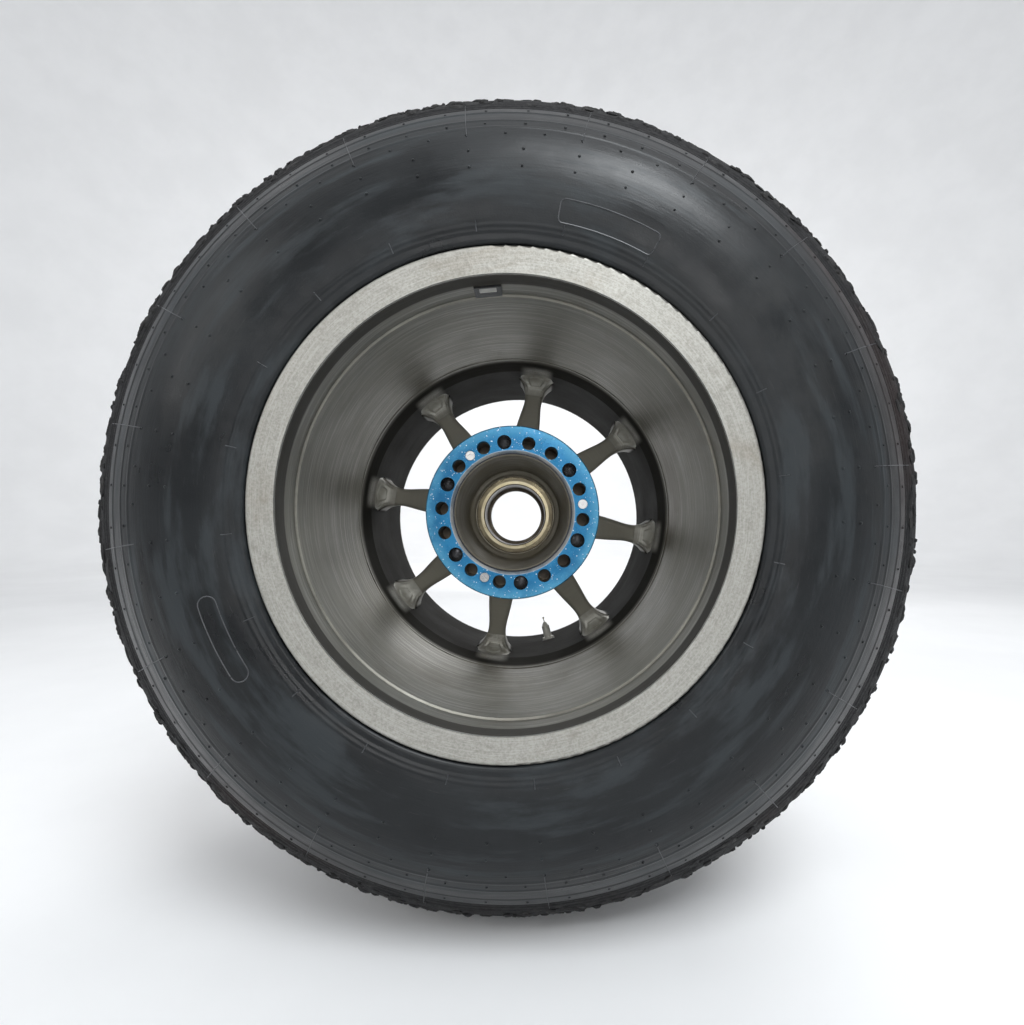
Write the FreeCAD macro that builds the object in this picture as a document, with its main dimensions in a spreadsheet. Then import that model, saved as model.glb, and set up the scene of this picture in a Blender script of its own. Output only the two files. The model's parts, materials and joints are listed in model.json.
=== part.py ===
import FreeCAD, Part
import math
import os
import re
import Sketcher
from collections import namedtuple
from FreeCAD import Placement, Rotation, Vector

# A single-seater rear wheel: forged rim with a deep barrel and eight spokes, slick tyre, blue drive ring
# and a captive centre nut. Millimetres. The axle axis is Y, the inboard side faces -Y and +Z is up.
# The origin is the wheel's centre. Every outline below is a list of corners (radius, place along the axle).

DIMENSIONS = {
    # Rim
    "mounting_half_width": 174,
    "flange_width": 5.5,
    "flange_radius": 179,
    "flange_rounding": 2.4,
    "bead_seat_radius": 165.1,
    "bead_seat_width": 20,
    "bead_seat_taper": 5,
    "hump_height": 1.3,
    "lip_bore_radius": 159,
    "lip_groove_depth": 1.3,
    "bead_bore_radius": 159.6,
    "barrel_bore_radius": 158.2,
    "barrel_waist_radius": 155.5,
    "barrel_step_place": -143,
    "barrel_line_place": -5.5,
    "barrel_line_height": 0.7,
    "barrel_wall": 3.6,
    "well_bore_radius": 150,
    "well_start": 14,
    "well_end": 92,
    "valve_bore_radius": 156.5,
    "valve_wall": 4.5,
    # Spokes
    "spoke_count": 8,
    "first_spoke_angle": 81,
    "spoke_waist_width": 20,
    "spoke_waist_depth": 20,
    "spoke_root_width": 28,
    "spoke_root_depth": 28,
    "spoke_foot_width": 46,
    "spoke_foot_depth": 38,
    "spoke_foot_radius": 151.2,
    "spoke_root_place": 2,
    "spoke_foot_place": 58,
    "spoke_corner": 5,
    # Hub
    "hub_bore_radius": 53.4,
    "hub_bore_end": -18,
    "hub_lip_wall": 1.1,
    "hub_lip_place": -41.6,
    "hub_face_place": -34,
    "hub_flange_radius": 79,
    "hub_flange_end": -20,
    "hub_waist_radius": 62,
    "hub_nose_radius": 59.8,
    "hub_end_place": 78,
    "hub_floor_radius": 46.5,
    "web_bore_radius": 42,
    "web_place": 25,
    "web_end": 33,
    # Captive nut, its conical seat and its retaining ring
    "nut_nose_radius": 40.4,
    "nut_nose_place": 33,
    "nut_nose_length": 3,
    "nut_body_radius": 51.1,
    "nut_body_end": 69.5,
    "nut_drive_radius": 43,
    "nut_end_place": 84,
    "nut_lug_count": 8,
    "nut_lug_depth": 8,
    "nut_lug_height": 6,
    "nut_lug_width": 12,
    "nut_notch_count": 18,
    "nut_notch_width": 5,
    "nut_notch_depth": 1.8,
    "nut_thread_radius": 32.4,
    "nut_thread_end": 76,
    "nut_end_bore_radius": 28.9,
    "nut_running_gap": 0.3,
    "nut_cavity_radius": 51.5,
    "seat_thickness": 3,
    "clip_place": 70.5,
    "clip_thickness": 2.2,
    "clip_bore_radius": 45,
    "clip_groove_depth": 2,
    "clip_opening": 12,
    # Drive ring, its sockets, pegs and screws
    "ring_thickness": 8,
    "ring_radius": 81.6,
    "ring_bore_radius": 56.1,
    "ring_bore_chamfer": 2.2,
    "ring_rim_chamfer": 1,
    "drive_circle_radius": 66.4,
    "screw_angle": 6.7,
    "peg_angle": 36.7,
    "near_screw_offset": 12.5,
    "between_pegs_offset": 10,
    "socket_radius": 6.25,
    "socket_depth": 30,
    "peg_radius": 6.7,
    "peg_length": 19,
    "peg_dome_height": 3,
    "peg_gap": 0.05,
    "screw_head_radius": 4.3,
    "screw_head_height": 2.8,
    "screw_shank_radius": 2.5,
    "screw_length": 20,
    "screw_socket_radius": 1.73,
    "screw_socket_depth": 1.8,
    "screw_head_gap": 0.5,
    "seal_thickness": 1.5,
    "seal_width": 5,
    # Tyre
    "tyre_radius": 330,
    "crown_radius": 2000,
    "crown_half_width": 95,
    "shoulder_radius": 68.5,
    "flank_slope": 50,
    "section_half_width": 187,
    "sidewall_radius": 94,
    "sidewall_low_slope": 110,
    "apex_slope": 101,
    "tread_thickness": 4,
    "belt_thickness": 1.6,
    "carcass_thickness": 2.4,
    "liner_thickness": 0.9,
    "bead_core_inner_place": 160,
    "bead_core_width": 8.5,
    "bead_core_radius": 168.5,
    "bead_core_height": 6.5,
    "bead_fit_gap": 0.1,
    # Valve, measured along its own axis from the spot face inside the barrel
    "valve_angle": -75.5,
    "valve_place": 120,
    "spot_face_radius": 9,
    "spot_face_depth": 0.2,
    "stem_radius": 4.75,
    "stem_groove_radius": 4.3,
    "stem_groove_place": 4.3,
    "stem_barrel_radius": 4.7,
    "stem_barrel_place": 5.5,
    "stem_end": 17.7,
    "stem_head_radius": 8,
    "stem_head_thickness": 2.5,
    "stem_chamber_radius": 2.6,
    "stem_chamber_start": 4,
    "stem_air_radius": 1.6,
    "grommet_flange_radius": 7.5,
    "grommet_flange_thickness": 2,
    "grommet_sleeve_radius": 5.9,
    "valve_hole_radius": 5.95,
    "valve_washer_thickness": 1,
    "valve_washer_radius": 7.5,
    "valve_nut_flats": 12,
    "valve_nut_height": 3,
    "valve_clearance": 0.05,
    "core_radius": 2.5,
    "core_start": 6.5,
    "core_end": 17.6,
    "core_floor_thickness": 3,
    "core_floor_bore": 0.75,
    "core_bore": 1.75,
    "core_cap_base_radius": 4.4,
    "core_cap_nose_radius": 1.7,
    "core_cap_height": 5,
    "core_seal_place": 11,
    "core_seal_width": 1.6,
    "core_seal_depth": 0.3,
    "pin_radius": 0.55,
    "pin_tip_place": 28.7,
    "pin_tail_place": 4.9,
    "pin_button_radius": 1.1,
    "pin_button_length": 1.6,
    "pin_cup_radius": 1.9,
    "pin_cup_thickness": 0.9,
    "pin_collar_radius": 1.45,
    "pin_collar_place": 15.6,
    "pin_collar_thickness": 0.8,
    "spring_radius": 1.2,
    "spring_wire_radius": 0.16,
    "spring_turns": 6,
    # Rim tag on the barrel beside the inboard flange
    "tag_angle": 95,
    "tag_place": -153.5,
    "tag_width": 20,
    "tag_length": 16,
    "tag_thickness": 1.6,
    "tag_back_radius": 159.25,
    "label_width": 12.5,
    "label_length": 7,
    "label_depth": 0.5,
    "label_offset": 2.8,
}

doc = FreeCAD.newDocument("RacingWheel")
sheet = doc.addObject("Spreadsheet::Sheet", "Sizes")
for row, (alias, size) in enumerate(DIMENSIONS.items(), start=1):
    sheet.set(f"A{row}", alias)
    sheet.set(f"B{row}", str(size))
    sheet.setAlias(f"B{row}", alias)
doc.recompute()

ALIAS = re.compile(r"\b(" + "|".join(DIMENSIONS) + r")\b")
AXLE = Vector(0, 1, 0)


def bound(formula):
    """The formula with each alias written as a reference to the sheet."""
    return ALIAS.sub(r"Sizes.\1", formula)


def number(formula):
    """The formula's present value."""
    return float(sheet.evalExpression(formula))


def bind(thing, **formulas):
    for name, formula in formulas.items():
        thing.setExpression(name, bound(formula))


# A corner of an outline. A bend is the radius of the arc to the next corner, and its side is 1 where the
# arc's centre lies left of the way travelled and -1 where it lies right.
Corner = namedtuple("Corner", "radius place bend side", defaults=("", 1))


def corners(*pairs):
    return [Corner(str(radius), str(place)) for radius, place in pairs]


def mirrored(path):
    """The same corners on the other side of the wheel's middle plane."""
    return [Corner(c.radius, f"-({c.place})", c.bend, -c.side) for c in path]


def backwards(path):
    """The same line travelled the other way."""
    result = [Corner(path[-1].radius, path[-1].place, path[-2].bend, -path[-2].side)]
    for index in range(len(path) - 2, 0, -1):
        before = path[index - 1]
        result.append(Corner(path[index].radius, path[index].place, before.bend, -before.side))
    result.append(Corner(path[0].radius, path[0].place))
    return result


def arc_between(start, end, radius, side):
    """The arc of a circle from start to end whose centre lies on the given side."""
    chord = end.sub(start)
    rise = math.sqrt(radius ** 2 - (chord.Length / 2) ** 2)
    left = Vector(-chord.y, chord.x, 0).normalize()
    centre = start.add(chord.multiply(0.5)).add(left.multiply(side * rise))
    circle = Part.Circle(centre, Vector(0, 0, 1), radius)
    first = circle.parameter(start if side > 0 else end)
    last = circle.parameter(end if side > 0 else start)
    return Part.ArcOfCircle(circle, first, last)


def origin_part(body, role):
    return next(item for item in body.Origin.OriginFeatures if item.Role == role)


def new_sketch(body, name, plane):
    sketch = body.newObject("Sketcher::SketchObject", name)
    sketch.AttachmentSupport = (origin_part(body, plane), "")
    sketch.MapMode = "FlatFace"
    return sketch


def constrain(sketch, formula, kind, *where):
    index = sketch.addConstraint(Sketcher.Constraint(kind, *where, number(formula)))
    sketch.setExpression(f"Constraints[{index}]", bound(formula))


def draw_outline(sketch, outline):
    """Draws a closed outline and binds each corner, and each bend's radius, to its formula."""
    points = [Vector(number(c.radius), number(c.place), 0) for c in outline]
    count = len(outline)
    first_ends = []
    last_ends = []
    for index, corner in enumerate(outline):
        start = points[index]
        end = points[(index + 1) % count]
        if corner.bend:
            shape = arc_between(start, end, number(corner.bend), corner.side)
            first_ends.append(1 if corner.side > 0 else 2)
        else:
            shape = Part.LineSegment(start, end)
            first_ends.append(1)
        last_ends.append(3 - first_ends[-1])
        sketch.addGeometry(shape, False)
    for index, corner in enumerate(outline):
        after = (index + 1) % count
        sketch.addConstraint(
            Sketcher.Constraint("Coincident", index, last_ends[index], after, first_ends[after]))
        constrain(sketch, corner.radius, "DistanceX", index, first_ends[index])
        constrain(sketch, corner.place, "DistanceY", index, first_ends[index])
        if corner.bend:
            constrain(sketch, corner.bend, "Radius", index)


def turn(label, outline):
    """A body turned about the axle axis from its outline."""
    body = doc.addObject("PartDesign::Body", label)
    sketch = new_sketch(body, label + "_outline", "XY_Plane")
    draw_outline(sketch, outline)
    revolution = body.newObject("PartDesign::Revolution", label + "_turned")
    revolution.Profile = sketch
    revolution.ReferenceAxis = (sketch, ["V_Axis"])
    revolution.Angle = 360
    body.Tip = revolution
    doc.recompute()
    return body


def dress_edges(body, kind, size, circles):
    """Rounds or chamfers the circular edges at the given radii and places."""
    wanted = [(number(radius), number(place)) for radius, place in circles]
    names = []
    for index, edge in enumerate(body.Shape.Edges, start=1):
        if not isinstance(edge.Curve, Part.Circle):
            continue
        for radius, place in wanted:
            if abs(edge.Curve.Radius - radius) < 1e-4 and abs(edge.Curve.Center.y - place) < 1e-4:
                names.append(f"Edge{index}")
    base = body.Tip
    feature = body.newObject("PartDesign::" + kind, f"{body.Name}_{kind}")
    feature.Base = (base, names)
    bind(feature, **{"Radius" if kind == "Fillet" else "Size": size})
    body.Tip = feature
    doc.recompute()


def drill(body, name, radius, angles, repeats, face, depth):
    """Holes on the drive circle, cut outboard from an axial place and repeated evenly about the axle."""
    sketch = new_sketch(body, name + "_circles", "XZ_Plane")
    bind(sketch, **{"AttachmentOffset.Base.z": f"-({face})"})
    for index, angle in enumerate(angles):
        across = f"drive_circle_radius * cos({angle})"
        up = f"drive_circle_radius * sin({angle})"
        centre = Vector(number(across), number(up), 0)
        sketch.addGeometry(Part.Circle(centre, Vector(0, 0, 1), number(radius)), False)
        constrain(sketch, across, "DistanceX", index, 3)
        constrain(sketch, up, "DistanceY", index, 3)
        constrain(sketch, radius, "Radius", index)
    pocket = body.newObject("PartDesign::Pocket", name)
    pocket.Profile = sketch
    bind(pocket, Length=depth)
    repeat_about_axle(body, name, [pocket], repeats)


def repeat_about_axle(body, name, features, repeats):
    pattern = body.newObject("PartDesign::PolarPattern", name + "_pattern")
    pattern.Originals = features
    pattern.Axis = (origin_part(body, "Y_Axis"), [""])
    pattern.Angle = 360
    bind(pattern, Occurrences=repeats)
    body.Tip = pattern
    doc.recompute()


def cylinder(name, radius, start, end):
    """A cylinder along its own Z axis from start to end."""
    item = doc.addObject("Part::Cylinder", name)
    bind(item, Radius=radius, Height=f"({end}) - ({start})")
    bind(item, **{"Placement.Base.z": start})
    return item


def fused(name, *items):
    fuse = doc.addObject("Part::MultiFuse", name)
    fuse.Shapes = list(items)
    fuse.Refine = True
    return fuse


def cut(name, base, *tools):
    result = doc.addObject("Part::Cut", name)
    result.Base = base
    result.Tool = tools[0] if len(tools) == 1 else fused(name + "_tools", *tools)
    result.Refine = True
    return result


def grouped(name, items):
    group = doc.addObject("Part::Compound", name)
    group.Links = list(items)
    return group


def tube(name, outer, inner, start, end):
    """A tube along its own Z axis."""
    bore = cylinder(name + "_bore", inner, f"({start}) - 1", f"({end}) + 1")
    return cut(name, cylinder(name + "_bar", outer, start, end), bore)


# Rim, spokes and hub

bead_wall_place = "mounting_half_width"
face_place = "(mounting_half_width + flange_width)"
seat_end = "(mounting_half_width - bead_seat_width)"
seat_end_radius = "(bead_seat_radius - bead_seat_width * tan(bead_seat_taper))"
hump_radius = f"({seat_end_radius} + hump_height)"

flange_and_seat = corners(
    ("flange_radius", face_place),
    ("flange_radius", bead_wall_place),
    ("bead_seat_radius", bead_wall_place),
    (seat_end_radius, seat_end),
    (hump_radius, f"{seat_end} - 2.5"),
    (hump_radius, f"{seat_end} - 5"),
)


def rim_outline():
    """The rim's section: both flanges, the barrel and its well outside, the open barrel inside."""
    outside = corners(
        ("barrel_bore_radius + barrel_wall", "barrel_step_place + 3"),
        ("barrel_waist_radius + barrel_wall", "barrel_line_place"),
        ("well_bore_radius + barrel_wall", "well_start"),
        ("well_bore_radius + barrel_wall", "well_end"),
        ("valve_bore_radius + valve_wall", "well_end + 12"),
        ("valve_bore_radius + valve_wall", f"{seat_end} - 12"),
    )
    inside = corners(
        ("lip_bore_radius", face_place),
        ("lip_bore_radius", f"{seat_end} - 3"),
        ("valve_bore_radius", f"{seat_end} - 10"),
        ("valve_bore_radius", "well_end + 14"),
        ("well_bore_radius", "well_end - 2"),
        ("well_bore_radius", "well_start + 4"),
        ("barrel_waist_radius - 0.3", "barrel_line_place + 4"),
        ("barrel_waist_radius - 0.2", "barrel_line_place + 1.4"),
        ("barrel_waist_radius - barrel_line_height", "barrel_line_place + 0.6"),
        ("barrel_waist_radius - barrel_line_height", "barrel_line_place - 0.6"),
        ("barrel_waist_radius", "barrel_line_place - 1.4"),
        ("barrel_bore_radius", "barrel_step_place"),
        ("bead_bore_radius", "barrel_step_place - 1.4"),
        ("bead_bore_radius", f"-{face_place} + 5"),
        ("lip_bore_radius + lip_groove_depth", f"-{face_place} + 4.2"),
        ("lip_bore_radius + lip_groove_depth", f"-{face_place} + 2.8"),
        ("lip_bore_radius", f"-{face_place} + 2.2"),
        ("lip_bore_radius", f"-{face_place}"),
    )
    return mirrored(flange_and_seat) + outside + backwards(flange_and_seat) + inside


def build_rim():
    rim = turn("rim_blank", rim_outline())
    flange_edges = [("flange_radius", f"{sign}{place}")
                    for sign in ("", "-") for place in (face_place, bead_wall_place)]
    dress_edges(rim, "Fillet", "flange_rounding", flange_edges)
    return rim


def hub_outline():
    """The hub's section: drive flange, spigot lip and pilot bore, tapering bore, web, and nut cavity."""
    seat_shift = "seat_thickness * sqrt(2) + nut_running_gap * sqrt(2)"
    seat_outer_place = (f"nut_nose_place + nut_nose_length + nut_cavity_radius - nut_nose_radius"
                        f" - ({seat_shift})")
    outside = corners(
        ("hub_bore_radius", "hub_lip_place"),
        ("hub_bore_radius + hub_lip_wall", "hub_lip_place"),
        ("hub_bore_radius + hub_lip_wall", "hub_face_place"),
        ("hub_flange_radius", "hub_face_place"),
        ("hub_flange_radius", "hub_flange_end"),
        ("hub_flange_radius - 4", "hub_flange_end + 12"),
        ("hub_waist_radius + 5", "hub_flange_end + 32"),
        ("hub_waist_radius", "web_end"),
        ("hub_nose_radius", "web_end + 20"),
        ("hub_nose_radius", "hub_end_place"),
    )
    inside = corners(
        ("nut_cavity_radius", "hub_end_place"),
        ("nut_cavity_radius", "clip_place + clip_thickness"),
        ("nut_cavity_radius + clip_groove_depth", "clip_place + clip_thickness"),
        ("nut_cavity_radius + clip_groove_depth", "clip_place"),
        ("nut_cavity_radius", "clip_place"),
        ("nut_cavity_radius", seat_outer_place),
        ("web_bore_radius", f"{seat_outer_place} - (nut_cavity_radius - web_bore_radius)"),
        ("web_bore_radius", "web_place + 2"),
        ("web_bore_radius + 1.2", "web_place + 0.6"),
        ("hub_floor_radius", "web_place"),
        ("hub_floor_radius + 1.4", "web_place - 3"),
        ("hub_bore_radius", "hub_bore_end"),
    )
    return outside + inside


def spoke_section(body, name, radius, place, width, depth, corner):
    """A rounded rectangle square to the first spoke."""
    sketch = new_sketch(body, name, "XY_Plane")
    sketch.AttachmentOffset = Placement(Vector(), Rotation(AXLE, 90 - number("first_spoke_angle")))
    bind(sketch, **{
        "AttachmentOffset.Base.x": f"({radius}) * cos(first_spoke_angle)",
        "AttachmentOffset.Base.y": place,
        "AttachmentOffset.Base.z": f"({radius}) * sin(first_spoke_angle)",
    })
    straight_x = f"({width}) / 2 - ({corner})"
    straight_y = f"({depth}) / 2 - ({corner})"
    full_x = f"({width}) / 2"
    full_y = f"({depth}) / 2"
    outline = [
        Corner(straight_x, f"-({full_y})", corner, 1),
        Corner(full_x, f"-({straight_y})"),
        Corner(full_x, straight_y, corner, 1),
        Corner(straight_x, full_y),
        Corner(f"-({straight_x})", full_y, corner, 1),
        Corner(f"-({full_x})", straight_y),
        Corner(f"-({full_x})", f"-({straight_y})", corner, 1),
        Corner(f"-({straight_x})", f"-({full_y})"),
    ]
    draw_outline(sketch, outline)
    return sketch


def add_spokes(body):
    """One spoke lofted from the hub out to its flared foot in the well, repeated about the axle."""
    rise = "(spoke_foot_place - spoke_root_place)"
    sections = [
        spoke_section(body, "spoke_in_hub", "hub_waist_radius - 4", "spoke_root_place - 2",
                      "spoke_root_width + 8", "spoke_root_depth + 4", "spoke_corner"),
        spoke_section(body, "spoke_root", "hub_flange_radius + 3", f"spoke_root_place + {rise} * 0.12",
                      "spoke_root_width - 3", "spoke_root_depth - 3", "spoke_corner"),
        spoke_section(body, "spoke_waist", "hub_flange_radius + 32", f"spoke_root_place + {rise} * 0.55",
                      "spoke_waist_width", "spoke_waist_depth", "spoke_corner"),
        spoke_section(body, "spoke_neck", "spoke_foot_radius - 15", f"spoke_root_place + {rise} * 0.9",
                      "spoke_waist_width + 2", "spoke_waist_depth + 4", "spoke_corner"),
        spoke_section(body, "spoke_foot", "spoke_foot_radius", "spoke_foot_place",
                      "spoke_foot_width", "spoke_foot_depth", "spoke_corner + 3"),
    ]
    loft = body.newObject("PartDesign::AdditiveLoft", "spoke")
    loft.Profile = sections[0]
    loft.Sections = sections[1:]
    loft.Ruled = False
    body.Tip = loft
    doc.recompute()
    repeat_about_axle(body, "spoke", [loft], "spoke_count")


SOCKET_ANGLES = (
    "screw_angle - near_screw_offset",
    "screw_angle + near_screw_offset",
    "screw_angle + 60 - between_pegs_offset",
    "screw_angle + 60 + between_pegs_offset",
)


def build_hub():
    hub = turn("hub_blank", hub_outline())
    add_spokes(hub)
    drill(hub, "hub_sockets", "socket_radius", SOCKET_ANGLES, "3", "hub_face_place",
          "socket_depth - ring_thickness")
    drill(hub, "hub_peg_holes", "peg_radius + peg_gap", ["peg_angle"], "6", "hub_face_place",
          "peg_length - ring_thickness")
    drill(hub, "hub_screw_holes", "screw_shank_radius", ["screw_angle"], "3", "hub_face_place",
          "screw_length - ring_thickness")
    return hub


def radial_placement(angle, radius, place):
    """Puts a piece's own Z axis on the radius at this angle, pointing at the axle, and its Y on the axle's."""
    inward = Vector(-math.cos(math.radians(angle)), 0, -math.sin(math.radians(angle)))
    sideways = AXLE.cross(inward)
    turned = Rotation(sideways, AXLE, inward, "ZXY")
    return Placement(inward.multiply(-radius).add(Vector(0, place, 0)), turned)


VALVE_SEAT = radial_placement(
    number("valve_angle"), number("valve_bore_radius + spot_face_depth"), number("valve_place"))


def build_forging():
    """The one forging as three nodes that meet face to face: the rim, the hub with its spokes, and the
    drive flange, which ends at the floor of the sockets."""
    rim = build_rim()
    hole = cylinder("valve_hole", "valve_hole_radius", "-valve_wall - 3", "1")
    spot_face = cylinder("valve_spot_face", "spot_face_radius", "0", "2")
    valve_cut = fused("valve_cut", hole, spot_face)
    valve_cut.Placement = VALVE_SEAT
    hub = build_hub()
    parting_place = "hub_face_place + socket_depth - ring_thickness"
    parting = turn("hub_parting", corners(
        ("hub_floor_radius", "hub_lip_place - 5"),
        ("hub_flange_radius + 5", "hub_lip_place - 5"),
        ("hub_flange_radius + 5", parting_place),
        ("hub_floor_radius", parting_place),
    ))
    drive_flange = doc.addObject("Part::MultiCommon", "drive_flange")
    drive_flange.Shapes = [hub, parting]
    return [cut("wheel_rim", rim, valve_cut), cut("wheel_centre", hub, rim, parting), drive_flange]


# Drive ring and what it holds

def build_drive_ring():
    face = "(hub_face_place - ring_thickness)"
    ring = turn("drive_ring", corners(
        ("ring_bore_radius + ring_bore_chamfer", face),
        ("ring_radius - ring_rim_chamfer", face),
        ("ring_radius", f"{face} + ring_rim_chamfer"),
        ("ring_radius", "hub_face_place"),
        ("ring_bore_radius", "hub_face_place"),
        ("ring_bore_radius", f"{face} + ring_bore_chamfer"),
    ))
    drill(ring, "ring_sockets", "socket_radius", SOCKET_ANGLES, "3", face, "ring_thickness")
    drill(ring, "ring_peg_holes", "peg_radius + peg_gap", ["peg_angle"], "6", face, "ring_thickness")
    drill(ring, "ring_screw_holes", "screw_shank_radius", ["screw_angle"], "3", face, "ring_thickness")
    drill(ring, "ring_counterbores", "screw_head_radius + screw_head_gap", ["screw_angle"], "3", face,
          "screw_head_height")
    return ring


def on_drive_circle(angle, place):
    """A place on the drive circle, with the piece's own Z axis pointing inboard."""
    radius = number("drive_circle_radius")
    turn_angle = math.radians(angle)
    centre = Vector(radius * math.cos(turn_angle), place, radius * math.sin(turn_angle))
    return Placement(centre, Rotation(Vector(1, 0, 0), 90))


def build_pegs():
    """Six round pegs let into ring and hub, each with a domed end that stands proud of the ring."""
    dome = "((peg_radius ^ 2 + peg_dome_height ^ 2) / (2 * peg_dome_height))"
    pegs = []
    for index in range(6):
        body = cylinder(f"peg_{index}_body", "peg_radius", "-peg_length", "peg_dome_height")
        ball = doc.addObject("Part::Sphere", f"peg_{index}_dome")
        bind(ball, Radius=dome)
        bind(ball, **{"Placement.Base.z": f"peg_dome_height - {dome}"})
        shank = cylinder(f"peg_{index}_shank", "peg_radius", "-peg_length", "-peg_dome_height")
        end = doc.addObject("Part::MultiCommon", f"peg_{index}_end")
        end.Shapes = [body, ball]
        peg = fused(f"peg_{index}", shank, end)
        peg.Placement = on_drive_circle(number("peg_angle") + 60 * index,
                                        number("hub_face_place - ring_thickness"))
        pegs.append(peg)
    return grouped("drive_pegs", pegs)


def build_screws():
    """Three button-headed screws with hexagon sockets, sunk flush in the ring's counterbores."""
    screws = []
    for index in range(3):
        head = cylinder(f"screw_{index}_head", "screw_head_radius", "-screw_head_height + 0.02", "0")
        shank = cylinder(f"screw_{index}_shank", "screw_shank_radius - 0.02", "-screw_length + 0.5",
                         "-screw_head_height + 0.02")
        socket = doc.addObject("Part::Prism", f"screw_{index}_socket")
        socket.Polygon = 6
        bind(socket, Circumradius="screw_socket_radius", Height="screw_socket_depth + 1")
        bind(socket, **{"Placement.Base.z": "-screw_socket_depth"})
        screw = cut(f"screw_{index}", fused(f"screw_{index}_blank", head, shank), socket)
        screw.Placement = on_drive_circle(number("screw_angle") + 120 * index,
                                          number("hub_face_place - ring_thickness"))
        screws.append(screw)
    return grouped("ring_screws", screws)


def build_hub_seal():
    """A dark sealing ring between the hub's lip and the drive ring's bore."""
    inner = "(hub_bore_radius + hub_lip_wall + 0.05)"
    return turn("hub_seal_ring", corners(
        (inner, "hub_face_place"),
        (inner, "hub_face_place - seal_width"),
        (f"{inner} + seal_thickness", "hub_face_place - seal_width"),
        (f"{inner} + seal_thickness", "hub_face_place"),
    ))


# Captive nut

def build_nut_seat():
    """The pressed-in conical ring that the nut bears on."""
    gap = "(nut_running_gap * sqrt(2))"
    cone_start = f"(nut_nose_place + nut_nose_length - {gap} - nut_nose_radius)"
    thickness = "(seat_thickness * sqrt(2))"
    inner = "(nut_nose_radius + 0.8)"
    return turn("nut_seat", corners(
        (inner, f"{cone_start} + {inner}"),
        (inner, f"{cone_start} + web_bore_radius - {thickness} + 0.5"),
        ("web_bore_radius + 0.5", f"{cone_start} + web_bore_radius + 0.5 - {thickness}"),
        ("nut_cavity_radius", f"{cone_start} + nut_cavity_radius - {thickness}"),
        ("nut_cavity_radius", f"{cone_start} + nut_cavity_radius"),
    ))


def build_nut():
    """The centre nut: notched nose, 45 degree cone, round body, and drive lugs at the outboard end."""
    cone_end = "(nut_nose_place + nut_nose_length + nut_body_radius - nut_nose_radius)"
    blank = turn("nut_blank", corners(
        ("nut_thread_radius + 1", "nut_nose_place"),
        ("nut_nose_radius", "nut_nose_place"),
        ("nut_nose_radius", "nut_nose_place + nut_nose_length"),
        ("nut_body_radius", cone_end),
        ("nut_body_radius", "nut_body_end"),
        ("nut_drive_radius", "nut_body_end"),
        ("nut_drive_radius", "nut_end_place"),
        ("nut_end_bore_radius", "nut_end_place"),
        ("nut_end_bore_radius", "nut_thread_end"),
        ("nut_thread_radius", "nut_thread_end"),
        ("nut_thread_radius", "nut_nose_place + 1"),
    ))
    notches = slots_about_axle("nut_notch", "nut_notch_count", "nut_notch_width",
                               "nut_nose_radius - nut_notch_depth", "nut_nose_radius + 2",
                               "nut_nose_place - 1", "nut_nose_place + nut_notch_depth")
    gaps = slots_about_axle("nut_lug_gap", "nut_lug_count", "nut_lug_width",
                            "nut_drive_radius - nut_lug_height", "nut_drive_radius + 4",
                            "nut_end_place - nut_lug_depth", "nut_end_place + 1")
    return cut("wheel_nut", blank, notches, gaps)


def slots_about_axle(name, count, width, inner, outer, start, end):
    """A ring of straight-sided slots pointing at the axle."""
    slots = []
    total = round(number(count))
    for index in range(total):
        slot = doc.addObject("Part::Box", f"{name}_{index}")
        bind(slot, Length=width, Width=f"({end}) - ({start})", Height=f"({outer}) - ({inner})")
        corner = Placement(Vector(-number(width) / 2, number(start), number(inner)), Rotation())
        spin = Placement(Vector(), Rotation(AXLE, 360 * index / total))
        slot.Placement = spin.multiply(corner)
        slots.append(slot)
    return grouped(name + "s", slots)


def build_retaining_ring():
    """An open spring ring in the groove outboard of the nut's body."""
    ring = turn("clip_blank", corners(
        ("clip_bore_radius", "clip_place + 0.1"),
        ("nut_cavity_radius + clip_groove_depth - 0.2", "clip_place + 0.1"),
        ("nut_cavity_radius + clip_groove_depth - 0.2", "clip_place + clip_thickness - 0.1"),
        ("clip_bore_radius", "clip_place + clip_thickness - 0.1"),
    ))
    opening = doc.addObject("Part::Box", "clip_opening_block")
    bind(opening, Length="clip_opening", Width="clip_thickness + 2", Height="20")
    opening.Placement = Placement(
        Vector(-number("clip_opening") / 2, number("clip_place - 1"), number("clip_bore_radius - 5")),
        Rotation())
    return cut("nut_retaining_ring", ring, opening)


# Tyre. Each layer lies at a depth under the outer surface, so all its arcs share the same centres.

edge_slope = "asin(crown_half_width / crown_radius)"
crown_centre = "(tyre_radius - crown_radius)"
shoulder_centre_radius = f"({crown_centre} + (crown_radius - shoulder_radius) * cos({edge_slope}))"
shoulder_centre_place = f"((crown_radius - shoulder_radius) * sin({edge_slope}))"
sidewall_centre_place = "(section_half_width - sidewall_radius)"
flank_run = (f"({sidewall_centre_place} - {shoulder_centre_place}"
             f" - (shoulder_radius - sidewall_radius) * sin(flank_slope))")
sidewall_centre_radius = (f"({shoulder_centre_radius} + (shoulder_radius - sidewall_radius) * cos(flank_slope)"
                          f" - {flank_run} * tan(flank_slope))")


def under(depth, centre_radius, centre_place, radius, slope, bend=""):
    """The place on an arc where the surface has this slope, at this depth under the outer surface."""
    reach = f"({radius} - ({depth}))"
    return Corner(f"{centre_radius} + {reach} * cos({slope})", f"{centre_place} + {reach} * sin({slope})",
                  bend, 1)


def crown_edge(depth):
    return under(depth, crown_centre, "0", "crown_radius", edge_slope, f"shoulder_radius - ({depth})")


def flank_start(depth):
    return under(depth, shoulder_centre_radius, shoulder_centre_place, "shoulder_radius", "flank_slope")


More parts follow.
